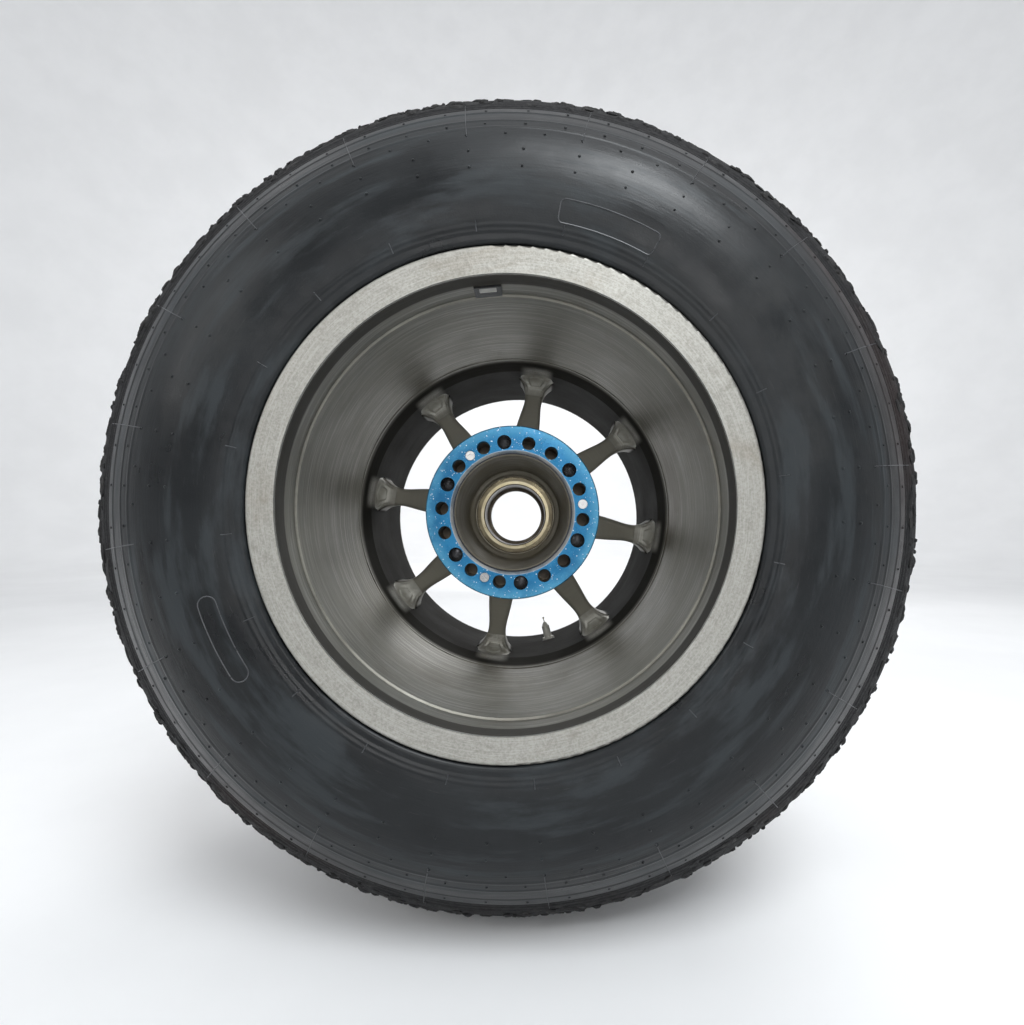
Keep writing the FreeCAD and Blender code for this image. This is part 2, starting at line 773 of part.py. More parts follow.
def flank_end(depth, slope=""):
    bend = f"sidewall_radius - ({depth})" if slope else ""
    return under(depth, sidewall_centre_radius, sidewall_centre_place, "sidewall_radius", "flank_slope", bend)


def low_sidewall(depth, slope):
    return under(depth, sidewall_centre_radius, sidewall_centre_place, "sidewall_radius", slope)


def tread_end(depth):
    """Half way down the straight flank, where tread and sidewall rubber meet."""
    upper = flank_start(depth)
    lower = flank_end(depth)
    return Corner(f"({upper.radius} + {lower.radius}) / 2", f"({upper.place} + {lower.place}) / 2")


def over_crown(depth, side_path):
    """A layer's surface from one side to the other, given the outboard side from the crown edge down."""
    inboard = backwards(mirrored(side_path))
    across = Corner(inboard[-1].radius, inboard[-1].place, f"crown_radius - ({depth})", 1)
    return inboard[:-1] + [across] + side_path


def crown_layer(label, top, bottom):
    """A layer that covers the crown and both shoulders."""
    surfaces = []
    for depth in (top, bottom):
        side = [crown_edge(depth), flank_start(depth), tread_end(depth)]
        surfaces.append(over_crown(depth, side))
    return turn(label, surfaces[0] + backwards(surfaces[1]))


belt_top = "tread_thickness"
carcass_top = "(tread_thickness + belt_thickness)"
liner_top = "(tread_thickness + belt_thickness + carcass_thickness)"
liner_bottom = "(tread_thickness + belt_thickness + carcass_thickness + liner_thickness)"
core_top_radius = "(bead_core_radius + bead_core_height)"
core_outer_place = "(bead_core_inner_place + bead_core_width)"


def wrapped_layer(label, top, bottom, top_place, bottom_place, top_lift, bottom_lift):
    """A layer that runs from bead to bead, each end standing inside the bead core."""
    surfaces = []
    for depth, place, lift in ((top, top_place, top_lift), (bottom, bottom_place, bottom_lift)):
        side = [crown_edge(depth), flank_start(depth), flank_end(depth, "apex_slope"),
                low_sidewall(depth, "apex_slope")]
        side += corners((f"{core_top_radius} + {lift}", place), ("bead_core_radius", place))
        surfaces.append(over_crown(depth, side))
    return turn(label, surfaces[0] + backwards(surfaces[1]))


def on_side(path, side):
    """The outline for the outboard side, or its mirror image for the inboard side."""
    return path if side == "outboard" else mirrored(path)


def build_sidewall(side):
    """Sidewall rubber from the tread's edge down round the bead to its toe on the bead seat."""
    seat = "bead_seat_radius + bead_fit_gap"
    toe_place = "bead_core_inner_place - carcass_thickness - liner_thickness"
    outside = [tread_end("0"), flank_end("0", "sidewall_low_slope"), low_sidewall("0", "sidewall_low_slope")]
    bead = corners(
        ("flange_radius + 2.2", "mounting_half_width + flange_width + 0.9"),
        ("flange_radius + 0.6", "mounting_half_width + flange_width - 0.6"),
        ("flange_radius + 0.3", "mounting_half_width - bead_fit_gap"),
        ("bead_seat_radius + 3", "mounting_half_width - bead_fit_gap"),
        (f"{seat} - 3 * tan(bead_seat_taper)", "mounting_half_width - 3"),
        (f"{seat} - (mounting_half_width - ({toe_place})) * tan(bead_seat_taper)", toe_place),
        ("bead_core_radius", toe_place),
        ("bead_core_radius", core_outer_place),
        (core_top_radius, core_outer_place),
    )
    inner = [flank_end(carcass_top, "apex_slope"), low_sidewall(carcass_top, "apex_slope")]
    path = outside + bead + backwards(inner) + [tread_end(carcass_top)]
    return turn(f"sidewall_{side}", on_side(path, side))


def build_bead_core(side):
    """The bead's steel wire hoop, as one solid ring."""
    return turn(f"bead_core_{side}", on_side(corners(
        ("bead_core_radius", "bead_core_inner_place"),
        (core_top_radius, "bead_core_inner_place"),
        (core_top_radius, core_outer_place),
        ("bead_core_radius", core_outer_place),
    ), side))


def build_bead_filler(side):
    """The stiff wedge of rubber that stands on the bead core."""
    apex = low_sidewall(carcass_top, "apex_slope")
    return turn(f"bead_filler_{side}", on_side(corners(
        (core_top_radius, "bead_core_inner_place"),
        (core_top_radius, core_outer_place),
        (apex.radius, apex.place),
    ), side))


def build_tyre():
    inner_place = "bead_core_inner_place - carcass_thickness"
    layers = [
        crown_layer("tread", "0", belt_top),
        crown_layer("belt_package", belt_top, carcass_top),
        wrapped_layer("carcass", carcass_top, liner_top, "bead_core_inner_place", inner_place, "0", "1"),
        wrapped_layer("inner_liner", liner_top, liner_bottom, inner_place,
                      f"{inner_place} - liner_thickness", "1", "1.4"),
    ]
    for side in ("inboard", "outboard"):
        layers += [build_sidewall(side), build_bead_core(side), build_bead_filler(side)]
    return layers


# Valve, drawn along its own Z axis, which points from the rim to the axle

def build_valve_stem():
    head_top = "(-valve_wall - spot_face_depth - valve_clearance - grommet_flange_thickness)"
    blank = fused(
        "stem_blank",
        cylinder("stem_head", "stem_head_radius", f"{head_top} - stem_head_thickness", head_top),
        cylinder("stem_shank", "stem_radius", head_top, "stem_groove_place"),
        cylinder("stem_groove", "stem_groove_radius", "stem_groove_place", "stem_barrel_place"),
        cylinder("stem_barrel", "stem_barrel_radius", "stem_barrel_place", "stem_end"),
    )
    chamber = cylinder("stem_chamber", "stem_chamber_radius", "stem_chamber_start", "stem_end + 1")
    air_way = cylinder("stem_air_way", "stem_air_radius", f"{head_top} - stem_head_thickness - 1",
                       "stem_chamber_start + 1")
    return cut("valve_stem", blank, chamber, air_way)


def build_valve_grommet():
    flange_top = "(-valve_wall - spot_face_depth - valve_clearance)"
    flange = cylinder("grommet_flange", "grommet_flange_radius",
                      f"{flange_top} - grommet_flange_thickness", flange_top)
    sleeve = cylinder("grommet_sleeve", "grommet_sleeve_radius", flange_top, "-spot_face_depth")
    bore = cylinder("grommet_bore", "stem_radius + valve_clearance",
                    f"{flange_top} - grommet_flange_thickness - 1", "1")
    return cut("valve_grommet", fused("grommet_blank", flange, sleeve), bore)


def build_valve_washer():
    return tube("valve_washer", "valve_washer_radius", "stem_radius + valve_clearance", "0",
                "valve_washer_thickness")


def build_valve_nut():
    hexagon = doc.addObject("Part::Prism", "valve_nut_hexagon")
    hexagon.Polygon = 6
    bind(hexagon, Circumradius="valve_nut_flats / sqrt(3)", Height="valve_nut_height")
    bind(hexagon, **{"Placement.Base.z": "valve_washer_thickness"})
    bore = cylinder("valve_nut_bore", "stem_radius + valve_clearance", "0",
                    "valve_washer_thickness + valve_nut_height + 1")
    return cut("valve_nut", hexagon, bore)


def build_valve_core():
    floor_top = "(core_start + core_floor_thickness)"
    barrel = cylinder("core_barrel", "core_radius", "core_start", "core_end")
    chamber = cylinder("core_chamber", "core_bore", floor_top, "core_end + 1")
    floor_bore = cylinder("core_floor_hole", "core_floor_bore", "core_start - 1", f"{floor_top} + 1")
    groove = tube("core_groove", "core_radius + 1", "core_radius - core_seal_depth", "core_seal_place",
                  "core_seal_place + core_seal_width")
    body = cut("valve_core_body", barrel, chamber, floor_bore, groove)
    seal = tube("valve_core_seal", "stem_chamber_radius - 0.02", "core_radius - core_seal_depth",
                "core_seal_place", "core_seal_place + core_seal_width")
    return [body, seal]


def build_valve_core_cap():
    """The conical nose that closes the stem, with the pin through it."""
    cone = doc.addObject("Part::Cone", "core_cap_cone")
    bind(cone, Radius1="core_cap_base_radius", Radius2="core_cap_nose_radius", Height="core_cap_height")
    bind(cone, **{"Placement.Base.z": "stem_end"})
    bore = cylinder("core_cap_bore", "core_floor_bore", "stem_end - 1", "stem_end + core_cap_height + 1")
    return cut("valve_core_cap", cone, bore)


def build_valve_pin():
    rod = cylinder("pin_rod", "pin_radius", "pin_tail_place", "pin_tip_place")
    cup = cylinder("pin_cup", "pin_cup_radius", "core_start - 0.1 - pin_cup_thickness", "core_start - 0.1")
    collar = cylinder("pin_collar", "pin_collar_radius", "pin_collar_place",
                      "pin_collar_place + pin_collar_thickness")
    button = cylinder("pin_button", "pin_button_radius", "pin_tip_place - pin_button_length", "pin_tip_place")
    return fused("valve_pin", rod, cup, collar, button)


def build_valve_spring():
    """A coil between the core's floor and the pin's collar."""
    floor_top = "(core_start + core_floor_thickness)"
    length = f"(pin_collar_place - {floor_top} - 2 * spring_wire_radius - 0.1)"
    path = doc.addObject("Part::Helix", "spring_path")
    bind(path, Radius="spring_radius", Height=length, Pitch=f"{length} / spring_turns")
    section = doc.addObject("Part::Circle", "spring_section")
    bind(section, Radius="spring_wire_radius")
    section.Placement = Placement(Vector(number("spring_radius"), 0, 0), Rotation(Vector(1, 0, 0), 90))
    doc.recompute()
    spring = doc.addObject("Part::Sweep", "valve_spring")
    spring.Sections = [section]
    spring.Spine = (path, [])
    spring.Solid = True
    spring.Frenet = True
    return spring


def build_valve():
    pieces = [build_valve_stem(), build_valve_grommet(), build_valve_washer(), build_valve_nut()]
    pieces += build_valve_core()
    pieces += [build_valve_core_cap(), build_valve_pin()]
    for piece in pieces:
        piece.Placement = VALVE_SEAT
    spring = build_valve_spring()
    rest = Vector(0, 0, number("core_start + core_floor_thickness + spring_wire_radius + 0.05"))
    spring.Placement = VALVE_SEAT.multiply(Placement(rest, Rotation()))
    return pieces + [spring]


# Tag on the barrel

def slab(name, width, length, start, end, shift):
    """A plate centred across its own Z axis, shifted along Y."""
    item = doc.addObject("Part::Box", name)
    bind(item, Length=width, Width=length, Height=f"({end}) - ({start})")
    bind(item, **{"Placement.Base.x": f"-({width}) / 2", "Placement.Base.y": f"{shift} - ({length}) / 2",
                  "Placement.Base.z": start})
    return item


def build_tag():
    """A small plate with a shallow window near its inboard edge, and the label in the window."""
    plate = slab("tag_plate", "tag_width", "tag_length", "0", "tag_thickness", "0")
    window = slab("tag_window", "label_width", "label_length", "tag_thickness - label_depth",
                  "tag_thickness + 1", "-label_offset")
    tag = cut("rim_tag", plate, window)
    label = slab("label_plate", "label_width - 0.1", "label_length - 0.1",
                 "tag_thickness - label_depth", "tag_thickness - 0.1", "-label_offset")
    placed_label = grouped("rim_tag_label", [label])
    seat = radial_placement(number("tag_angle"), number("tag_back_radius"), number("tag_place"))
    tag.Placement = seat
    placed_label.Placement = seat
    return [tag, placed_label]


# The finished sub-parts, each written to its own file

sub_parts = build_forging()
sub_parts += [build_drive_ring(), build_pegs(), build_screws(), build_hub_seal()]
sub_parts += [build_nut_seat(), build_nut(), build_retaining_ring()]
sub_parts += build_tyre()
sub_parts += build_valve()
sub_parts += build_tag()
doc.recompute()

for item in doc.Objects:
    if {"Invalid", "Error"} & set(item.State):
        raise RuntimeError(f"{item.Label} failed: {item.State}")
for sub_part in sub_parts:
    if sub_part.Shape.isNull() or not sub_part.Shape.isValid():
        raise RuntimeError(f"{sub_part.Label} has no valid shape")

os.makedirs("parts", exist_ok=True)
for sub_part in sub_parts:
    sub_part.Shape.exportStep(os.path.join("parts", sub_part.Label + ".step"))
    box = sub_part.Shape.optimalBoundingBox()
    print(f"{sub_part.Label:20s} {len(sub_part.Shape.Solids)} solids {sub_part.Shape.Volume / 1000:9.3f} cm3"
          f"  X {box.XMin:.1f} {box.XMax:.1f}  Y {box.YMin:.1f} {box.YMax:.1f}  Z {box.ZMin:.1f} {box.ZMax:.1f}")
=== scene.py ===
import json
import math

import bmesh
import bpy
import numpy as np
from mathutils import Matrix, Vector


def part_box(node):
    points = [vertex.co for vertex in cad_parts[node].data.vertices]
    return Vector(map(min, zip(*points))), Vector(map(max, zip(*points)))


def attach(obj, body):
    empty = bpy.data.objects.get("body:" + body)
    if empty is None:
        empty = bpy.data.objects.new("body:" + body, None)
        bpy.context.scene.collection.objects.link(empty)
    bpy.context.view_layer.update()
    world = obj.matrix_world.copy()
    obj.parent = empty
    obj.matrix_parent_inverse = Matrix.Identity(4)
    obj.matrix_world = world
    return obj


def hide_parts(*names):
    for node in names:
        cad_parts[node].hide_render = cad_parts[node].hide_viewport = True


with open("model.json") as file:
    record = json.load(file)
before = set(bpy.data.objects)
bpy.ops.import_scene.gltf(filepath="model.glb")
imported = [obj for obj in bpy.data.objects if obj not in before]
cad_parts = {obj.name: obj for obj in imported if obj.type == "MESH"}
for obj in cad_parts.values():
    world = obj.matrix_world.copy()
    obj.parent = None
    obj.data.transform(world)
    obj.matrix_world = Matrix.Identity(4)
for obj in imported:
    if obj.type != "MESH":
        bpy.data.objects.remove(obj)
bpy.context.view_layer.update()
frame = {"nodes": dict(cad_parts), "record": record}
nodes = frame["nodes"]
SEED = 13
random = np.random.default_rng(SEED)
MM = 0.001
TURN = 2 * math.pi


# Node materials. Object coordinates are the row frame, so the axle is Y and every pattern can follow it.

class Recipe:
    """A node material built from short calls. A value is a number, a colour or another node's output."""

    def __init__(self, name, **surface):
        self.material = bpy.data.materials.new(name)
        self.material.use_nodes = True
        self.tree = self.material.node_tree
        self.shader = self.tree.nodes["Principled BSDF"]
        for key, value in surface.items():
            self.shader.inputs[key.replace("_", " ")].default_value = value
        self.place = self.tree.nodes.new("ShaderNodeTexCoord").outputs["Object"]
        axes = self.tree.nodes.new("ShaderNodeSeparateXYZ")
        self.tree.links.new(self.place, axes.inputs[0])
        self.x, self.y, self.z = axes.outputs
        self.radius = self.math("SQRT", self.math("ADD", self.math("MULTIPLY", self.x, self.x),
                                                  self.math("MULTIPLY", self.z, self.z)))
        self.angle = self.math("ARCTAN2", self.z, self.x)
        self.depth = self.math("ABSOLUTE", self.y)
        self.bumped = None

    def put(self, socket, value):
        if isinstance(value, bpy.types.NodeSocket):
            self.tree.links.new(value, socket)
        elif isinstance(value, tuple) and len(value) == 3 and socket.type == "RGBA":
            socket.default_value = (*value, 1)
        else:
            socket.default_value = value

    def math(self, operation, a, b=0.0):
        node = self.tree.nodes.new("ShaderNodeMath")
        node.operation = operation
        self.put(node.inputs[0], a)
        self.put(node.inputs[1], b)
        return node.outputs[0]

    def times(self, a, b):
        return self.math("MULTIPLY", a, b)

    def join(self, x, y, z):
        node = self.tree.nodes.new("ShaderNodeCombineXYZ")
        for socket, value in zip(node.inputs, (x, y, z)):
            self.put(socket, value)
        return node.outputs[0]

    def fade(self, value, start, end, low=0.0, high=1.0):
        """Goes smoothly from low to high while the value goes from start to end."""
        node = self.tree.nodes.new("ShaderNodeMapRange")
        node.interpolation_type = "SMOOTHSTEP"
        for socket, item in zip(node.inputs, (value, start, end, low, high)):
            self.put(socket, item)
        return node.outputs[0]

    def band(self, value, middle, half, soft):
        """1 within half of the middle, fading to 0 over the soft width."""
        away = self.math("ABSOLUTE", self.math("SUBTRACT", value, middle))
        return self.fade(away, half, half + soft, 1.0, 0.0)

    def noise(self, scale, detail=4.0, roughness=0.55, where=None, warp=0.0):
        node = self.tree.nodes.new("ShaderNodeTexNoise")
        self.put(node.inputs["Vector"], where or self.place)
        for key, value in (("Scale", scale), ("Detail", detail), ("Roughness", roughness),
                           ("Distortion", warp)):
            node.inputs[key].default_value = value
        return node.outputs[0]

    def cells(self, scale):
        node = self.tree.nodes.new("ShaderNodeTexVoronoi")
        self.put(node.inputs["Vector"], self.place)
        node.inputs["Scale"].default_value = scale
        return node.outputs["Distance"]

    def streaks(self, along, across):
        """Coordinates for marks drawn out round the axle: low frequency along them, high across."""
        scaled = self.times(self.radius, across)
        return self.join(self.times(self.math("COSINE", self.angle), along),
                         self.times(self.math("SINE", self.angle), along),
                         self.math("ADD", scaled, self.times(self.y, across)))

    def mix(self, amount, a, b):
        node = self.tree.nodes.new("ShaderNodeMix")
        node.data_type = "RGBA"
        self.put(node.inputs[0], amount)
        self.put(node.inputs[6], a)
        self.put(node.inputs[7], b)
        return node.outputs[2]

    def bump(self, height, distance, strength):
        node = self.tree.nodes.new("ShaderNodeBump")
        node.inputs["Strength"].default_value = strength
        node.inputs["Distance"].default_value = distance
        self.put(node.inputs["Height"], height)
        if self.bumped:
            self.tree.links.new(self.bumped, node.inputs["Normal"])
        self.bumped = node.outputs[0]

    def finish(self, colour, roughness, metal=None):
        self.put(self.shader.inputs["Base Color"], colour)
        self.put(self.shader.inputs["Roughness"], roughness)
        if metal is not None:
            self.put(self.shader.inputs["Metallic"], metal)
        if self.bumped:
            self.tree.links.new(self.bumped, self.shader.inputs["Normal"])
        return self.material


def sidewall_rubber():
    m = Recipe("sidewall_rubber", Specular_IOR_Level=0.27)
    cloud = m.noise(7, 5, 0.6)
    film = m.noise(1, 6, 0.6, m.streaks(2.2, 60))
    dust = m.fade(m.times(m.noise(22, 6, 0.65), m.noise(4, 3, 0.5)), 0.24, 0.42)
    scuff = m.fade(m.noise(1, 3, 0.7, m.streaks(9, 900)), 0.62, 0.78)
    colour = m.mix(m.fade(cloud, 0.3, 0.7), (0.0036, 0.0044, 0.0052), (0.0100, 0.0120, 0.0134))
    colour = m.mix(m.fade(film, 0.48, 0.64, 0.0, 0.8), colour, (0.022, 0.027, 0.030))
    colour = m.mix(m.times(dust, 0.18), colour, (0.050, 0.049, 0.046))
    tint = m.times(m.fade(m.radius, 0.262, 0.300), m.fade(m.noise(3, 4, 0.6), 0.42, 0.62, 0.0, 0.55))
    colour = m.mix(tint, colour, (0.024, 0.011, 0.009))
    colour = m.mix(m.times(scuff, 0.4), colour, (0.055, 0.055, 0.056))
    m.bump(m.noise(850, 3, 0.6), 0.00012, 0.5)
    m.bump(m.noise(1, 4, 0.6, m.streaks(5, 420)), 0.00025, 0.5)
    m.bump(m.noise(60, 4, 0.6), 0.0004, 0.35)
    rough = m.math("ADD", m.fade(cloud, 0.35, 0.65, 0.27, 0.44), m.fade(film, 0.4, 0.7, -0.03, 0.12))
    return m.finish(colour, m.math("ADD", rough, m.times(dust, 0.12)))


def tread_rubber():
    m = Recipe("tread_rubber", Specular_IOR_Level=0.24)
    grain = m.noise(260, 5, 0.7, warp=0.6)
    wear = m.noise(14, 5, 0.65)
    scrub = m.noise(1, 4, 0.65, m.streaks(16, 260))
    colour = m.mix(m.fade(wear, 0.3, 0.7), (0.0040, 0.0040, 0.0046), (0.0110, 0.0110, 0.0120))
    colour = m.mix(m.fade(scrub, 0.5, 0.75, 0.0, 0.5), colour, (0.030, 0.029, 0.028))
    colour = m.mix(m.fade(m.cells(90), 0.05, 0.0, 0.0, 0.4), colour, (0.062, 0.060, 0.057))
    colour = m.mix(m.fade(m.noise(5, 4, 0.6), 0.52, 0.68, 0.0, 0.4), colour, (0.026, 0.014, 0.012))
    m.bump(grain, 0.0009, 0.8)
    m.bump(scrub, 0.0006, 0.6)
    return m.finish(colour, m.fade(grain, 0.3, 0.7, 0.62, 0.88))


def pickup_rubber():
    m = Recipe("pickup_rubber", Specular_IOR_Level=0.35)
    grain = m.noise(420, 5, 0.7)
    patches = m.fade(m.noise(60, 4, 0.6), 0.35, 0.7)
    colour = m.mix(patches, (0.0055, 0.0055, 0.0060), (0.018, 0.017, 0.0165))
    m.bump(grain, 0.0006, 0.9)
    return m.finish(colour, m.fade(grain, 0.3, 0.7, 0.6, 0.9))


def forging_metal():
    """Satin olive-grey barrel, mottled bare metal on the flange's face, painted highlights on the spokes' feet and
    along two edge lines, painted light on the peg sockets, and painted shade in the well, the hub bore and a
    groove inside the flange.
    """
    m = Recipe("forging_metal")
    cloud = m.noise(16, 6, 0.62)
    fine = m.noise(210, 5, 0.65)
    lines = m.noise(1, 3, 0.6, m.streaks(1.6, 700))
    face = m.times(m.fade(m.depth, 0.1765, 0.1782), m.fade(m.radius, 0.1580, 0.1592))
    flange = m.math("MAXIMUM", face, m.fade(m.radius, 0.1765, 0.1780))
    stain = m.fade(m.noise(9, 6, 0.7, warp=0.8), 0.52, 0.68)
    colour = m.mix(m.fade(cloud, 0.32, 0.68), (0.100, 0.094, 0.074), (0.170, 0.162, 0.132))
    colour = m.mix(m.fade(lines, 0.46, 0.66, 0.0, 0.8), colour, (0.300, 0.292, 0.258))
    scuffs = m.noise(1, 4, 0.7, m.streaks(6, 1600))
    colour = m.mix(m.fade(scuffs, 0.5, 0.64, 0.0, 0.6), colour, (0.060, 0.056, 0.043))
    colour = m.mix(m.times(stain, 0.45), colour, (0.080, 0.058, 0.036))
    barrel = m.fade(m.y, -0.030, -0.110)
    colour = m.mix(m.times(barrel, 0.30), colour, (0.270, 0.262, 0.232))
    # Painted shade: the wheel well beyond the spokes' feet is painted near black, and its specular is lowered
    # further down.
    painted_well_shade = m.times(m.fade(m.y, -0.004, 0.004, 0.0, 0.97), m.fade(m.radius, 0.146, 0.149))
    colour = m.mix(painted_well_shade, colour, (0.010, 0.009, 0.0065))
    # Painted light: the peg sockets' walls are painted beige, as if lit.
    socket = m.times(m.band(m.radius, 0.0664, 0.0064, 0.0004), m.band(m.y, -0.0225, 0.0113, 0.0002))
    colour = m.mix(m.times(socket, m.fade(cloud, 0.3, 0.6, 0.6, 1.0)), colour, (0.200, 0.150, 0.095))
    # Painted shade: the hub bore is painted a dull olive-brown.
    painted_bore_shade = m.times(m.fade(m.radius, 0.0560, 0.0545), m.fade(m.noise(30, 5, 0.6), 0.35, 0.7, 0.5, 1.0))
    colour = m.mix(painted_bore_shade, colour, (0.150, 0.132, 0.092))
    spoke = m.times(m.band(m.radius, 0.108, 0.028, 0.010), m.band(m.y, 0.025, 0.055, 0.01))
    colour = m.mix(m.times(spoke, 0.85), colour, (0.400, 0.382, 0.320))
    # Painted highlight: bright bare-metal mottle on the spokes' feet, at each spoke's angle.
    knuckle = m.fade(m.math("COSINE", m.times(m.math("SUBTRACT", m.angle, math.radians(81)), 8.0)), 0.55, 0.95)
    foot_highlight = m.times(m.times(m.band(m.radius, 0.1455, 0.007, 0.006), m.band(m.y, 0.030, 0.014, 0.010)), knuckle)
    # bare holds both the flange face's real bare metal and the painted highlight on the spokes' feet.
    bare = m.math("MAXIMUM", m.times(foot_highlight, m.fade(cloud, 0.25, 0.6, 0.5, 1.0)), flange)
    mottle = m.mix(m.fade(m.noise(620, 4, 0.7), 0.34, 0.66), (0.290, 0.284, 0.255), (0.390, 0.382, 0.350))
    brushed = m.noise(1, 4, 0.65, m.streaks(7, 1100))
    mottle = m.mix(m.fade(brushed, 0.45, 0.65, 0.0, 0.6), mottle, (0.45, 0.44, 0.41))
    mottle = m.mix(m.fade(m.noise(95, 6, 0.7, warp=0.5), 0.54, 0.68, 0.0, 0.45), mottle, (0.230, 0.220, 0.190))
    mottle = m.mix(m.times(stain, 0.30), mottle, (0.20, 0.16, 0.11))
    mottle = m.mix(m.fade(m.cells(240), 0.08, 0.0, 0.0, 0.8), mottle, (0.11, 0.10, 0.085))
    # Painted shade: a dark line in the groove inside the flange.
    groove = m.times(m.band(m.y, -0.1685, 0.0060, 0.0020), m.fade(m.radius, 0.1612, 0.1603))
    colour = m.mix(m.times(groove, 0.9), m.mix(bare, colour, mottle), (0.016, 0.014, 0.011))
    # Painted highlight: bright lines along the well's edge and the barrel's step.
    painted_edge_highlight = m.math("MAXIMUM", m.band(m.y, -0.0055, 0.0007, 0.0006), m.band(m.y, -0.1434, 0.0002, 0.0004))
    painted_edge_highlight = m.times(painted_edge_highlight, m.fade(m.radius, 0.150, 0.152))
    colour = m.mix(m.times(painted_edge_highlight, m.fade(cloud, 0.35, 0.6, 0.0, 0.3)), colour, (0.34, 0.33, 0.29))
    m.bump(fine, 0.00016, 0.6)
    m.bump(m.noise(1, 3, 0.6, m.streaks(1.2, 520)), 0.00012, 0.5)
    m.bump(m.times(m.noise(75, 5, 0.7), bare), 0.0007, 0.7)
    shaded = m.math("MAXIMUM", painted_bore_shade, m.math("MAXIMUM", painted_well_shade, groove))
    m.put(m.shader.inputs["Specular IOR Level"], m.math("SUBTRACT", 0.5, m.times(painted_well_shade, 0.42)))
    rougher = m.math("ADD", m.times(bare, 0.06), m.times(shaded, 0.3))
    rough = m.math("ADD", m.fade(cloud, 0.3, 0.7, 0.38, 0.52), rougher)
    dull = m.math("MAXIMUM", m.math("MAXIMUM", m.times(spoke, 0.35), m.times(socket, 0.5)), m.times(shaded, 0.5))
    return m.finish(colour, rough, m.math("SUBTRACT", m.math("ADD", m.times(bare, 0.25), 0.55), dull))


def anodised_blue():
    """Saturated between the holes, rubbed pale towards the rim, bare along the bore's edge."""
    m = Recipe("anodised_blue")
    cloud = m.noise(45, 5, 0.6)
    nick = m.fade(m.cells(420), 0.30, 0.16)
    scratch = m.fade(m.noise(1, 2, 0.6, m.streaks(26, 1500)), 0.66, 0.76)
    rubbed = m.times(m.fade(m.radius, 0.0685, 0.0805), m.fade(cloud, 0.28, 0.62, 0.25, 0.95))
    colour = m.mix(m.fade(cloud, 0.3, 0.7), (0.008, 0.135, 0.300), (0.022, 0.215, 0.430))
    colour = m.mix(rubbed, colour, (0.090, 0.340, 0.540))
    colour = m.mix(m.times(nick, m.fade(m.noise(170, 3, 0.6), 0.50, 0.58)), colour, (0.72, 0.80, 0.86))
    colour = m.mix(m.times(scratch, 0.6), colour, (0.42, 0.62, 0.74))
    bore = m.fade(m.radius, 0.0592, 0.0580)
    colour = m.mix(m.times(bore, m.fade(cloud, 0.3, 0.6, 0.5, 1.0)), colour, (0.60, 0.61, 0.61))
    m.bump(m.noise(300, 5, 0.65), 0.00015, 0.6)
    m.bump(nick, 0.00025, 0.5)
    return m.finish(colour, m.fade(cloud, 0.3, 0.7, 0.30, 0.46), m.fade(nick, 0.0, 1.0, 0.55, 0.9))


def nut_metal():
    """Champagne anodising, bright on the nose's flat, with painted shade in the bore and dark round the outside.
    """
    m = Recipe("nut_gold")
    cloud = m.noise(52, 5, 0.6)
    turned = m.noise(1, 3, 0.6, m.streaks(1.4, 1300))
    colour = m.mix(m.fade(cloud, 0.3, 0.7), (0.36, 0.31, 0.19), (0.56, 0.49, 0.33))
    colour = m.mix(m.fade(turned, 0.5, 0.7, 0.0, 0.4), colour, (0.70, 0.65, 0.52))
    nose = m.fade(m.y, 0.046, 0.040)
    edge = m.times(m.fade(m.radius, 0.0360, 0.0368), nose)
    colour = m.mix(m.times(edge, m.fade(cloud, 0.3, 0.6, 0.7, 0.95)), colour, (0.085, 0.070, 0.045))
    # Painted shade: the bore is painted dark brown.
    bore = m.fade(m.radius, 0.0334, 0.0328)
    colour = m.mix(m.times(bore, m.fade(cloud, 0.3, 0.6, 0.8, 1.0)), colour, (0.045, 0.032, 0.018))
    m.bump(m.noise(1000, 3, 0.6), 0.00006, 0.5)
    m.bump(turned, 0.00010, 0.5)
    return m.finish(colour, m.fade(cloud, 0.3, 0.7, 0.26, 0.40), m.math("SUBTRACT", 0.85, m.times(bore, 0.4)))


def worn_metal(name, dark, light, mark, rough, metal, fine=240, lines=900):
    """Turned or cast metal: cloudy colour, lines round the axle, and spots of a third colour."""
    m = Recipe(name)
    cloud = m.noise(fine / 5, 5, 0.6)
    turned = m.noise(1, 3, 0.6, m.streaks(1.4, lines))
    colour = m.mix(m.fade(cloud, 0.3, 0.7), dark, light)
    colour = m.mix(m.fade(m.noise(fine / 3, 5, 0.7), 0.55, 0.70, 0.0, 0.6), colour, mark)
    colour = m.mix(m.fade(turned, 0.5, 0.7, 0.0, 0.35), colour, mark)
    m.bump(m.noise(fine * 4, 3, 0.6), 0.00006, 0.5)
    m.bump(turned, 0.00010, 0.5)
    return m.finish(colour, m.fade(cloud, 0.3, 0.7, rough - 0.06, rough + 0.08), metal)


def soft_part(name, dark, light, rough, fine):
    """Rubber, plastic or cord that shows only a little: cloudy colour and a moulded grain."""
    m = Recipe(name)
    cloud = m.noise(fine, 5, 0.6)
    m.bump(m.noise(fine * 12, 3, 0.6), 0.00015, 0.6)
    colour = m.mix(m.fade(cloud, 0.3, 0.7), dark, light)
    return m.finish(colour, m.fade(cloud, 0.3, 0.7, rough - 0.06, rough + 0.06))


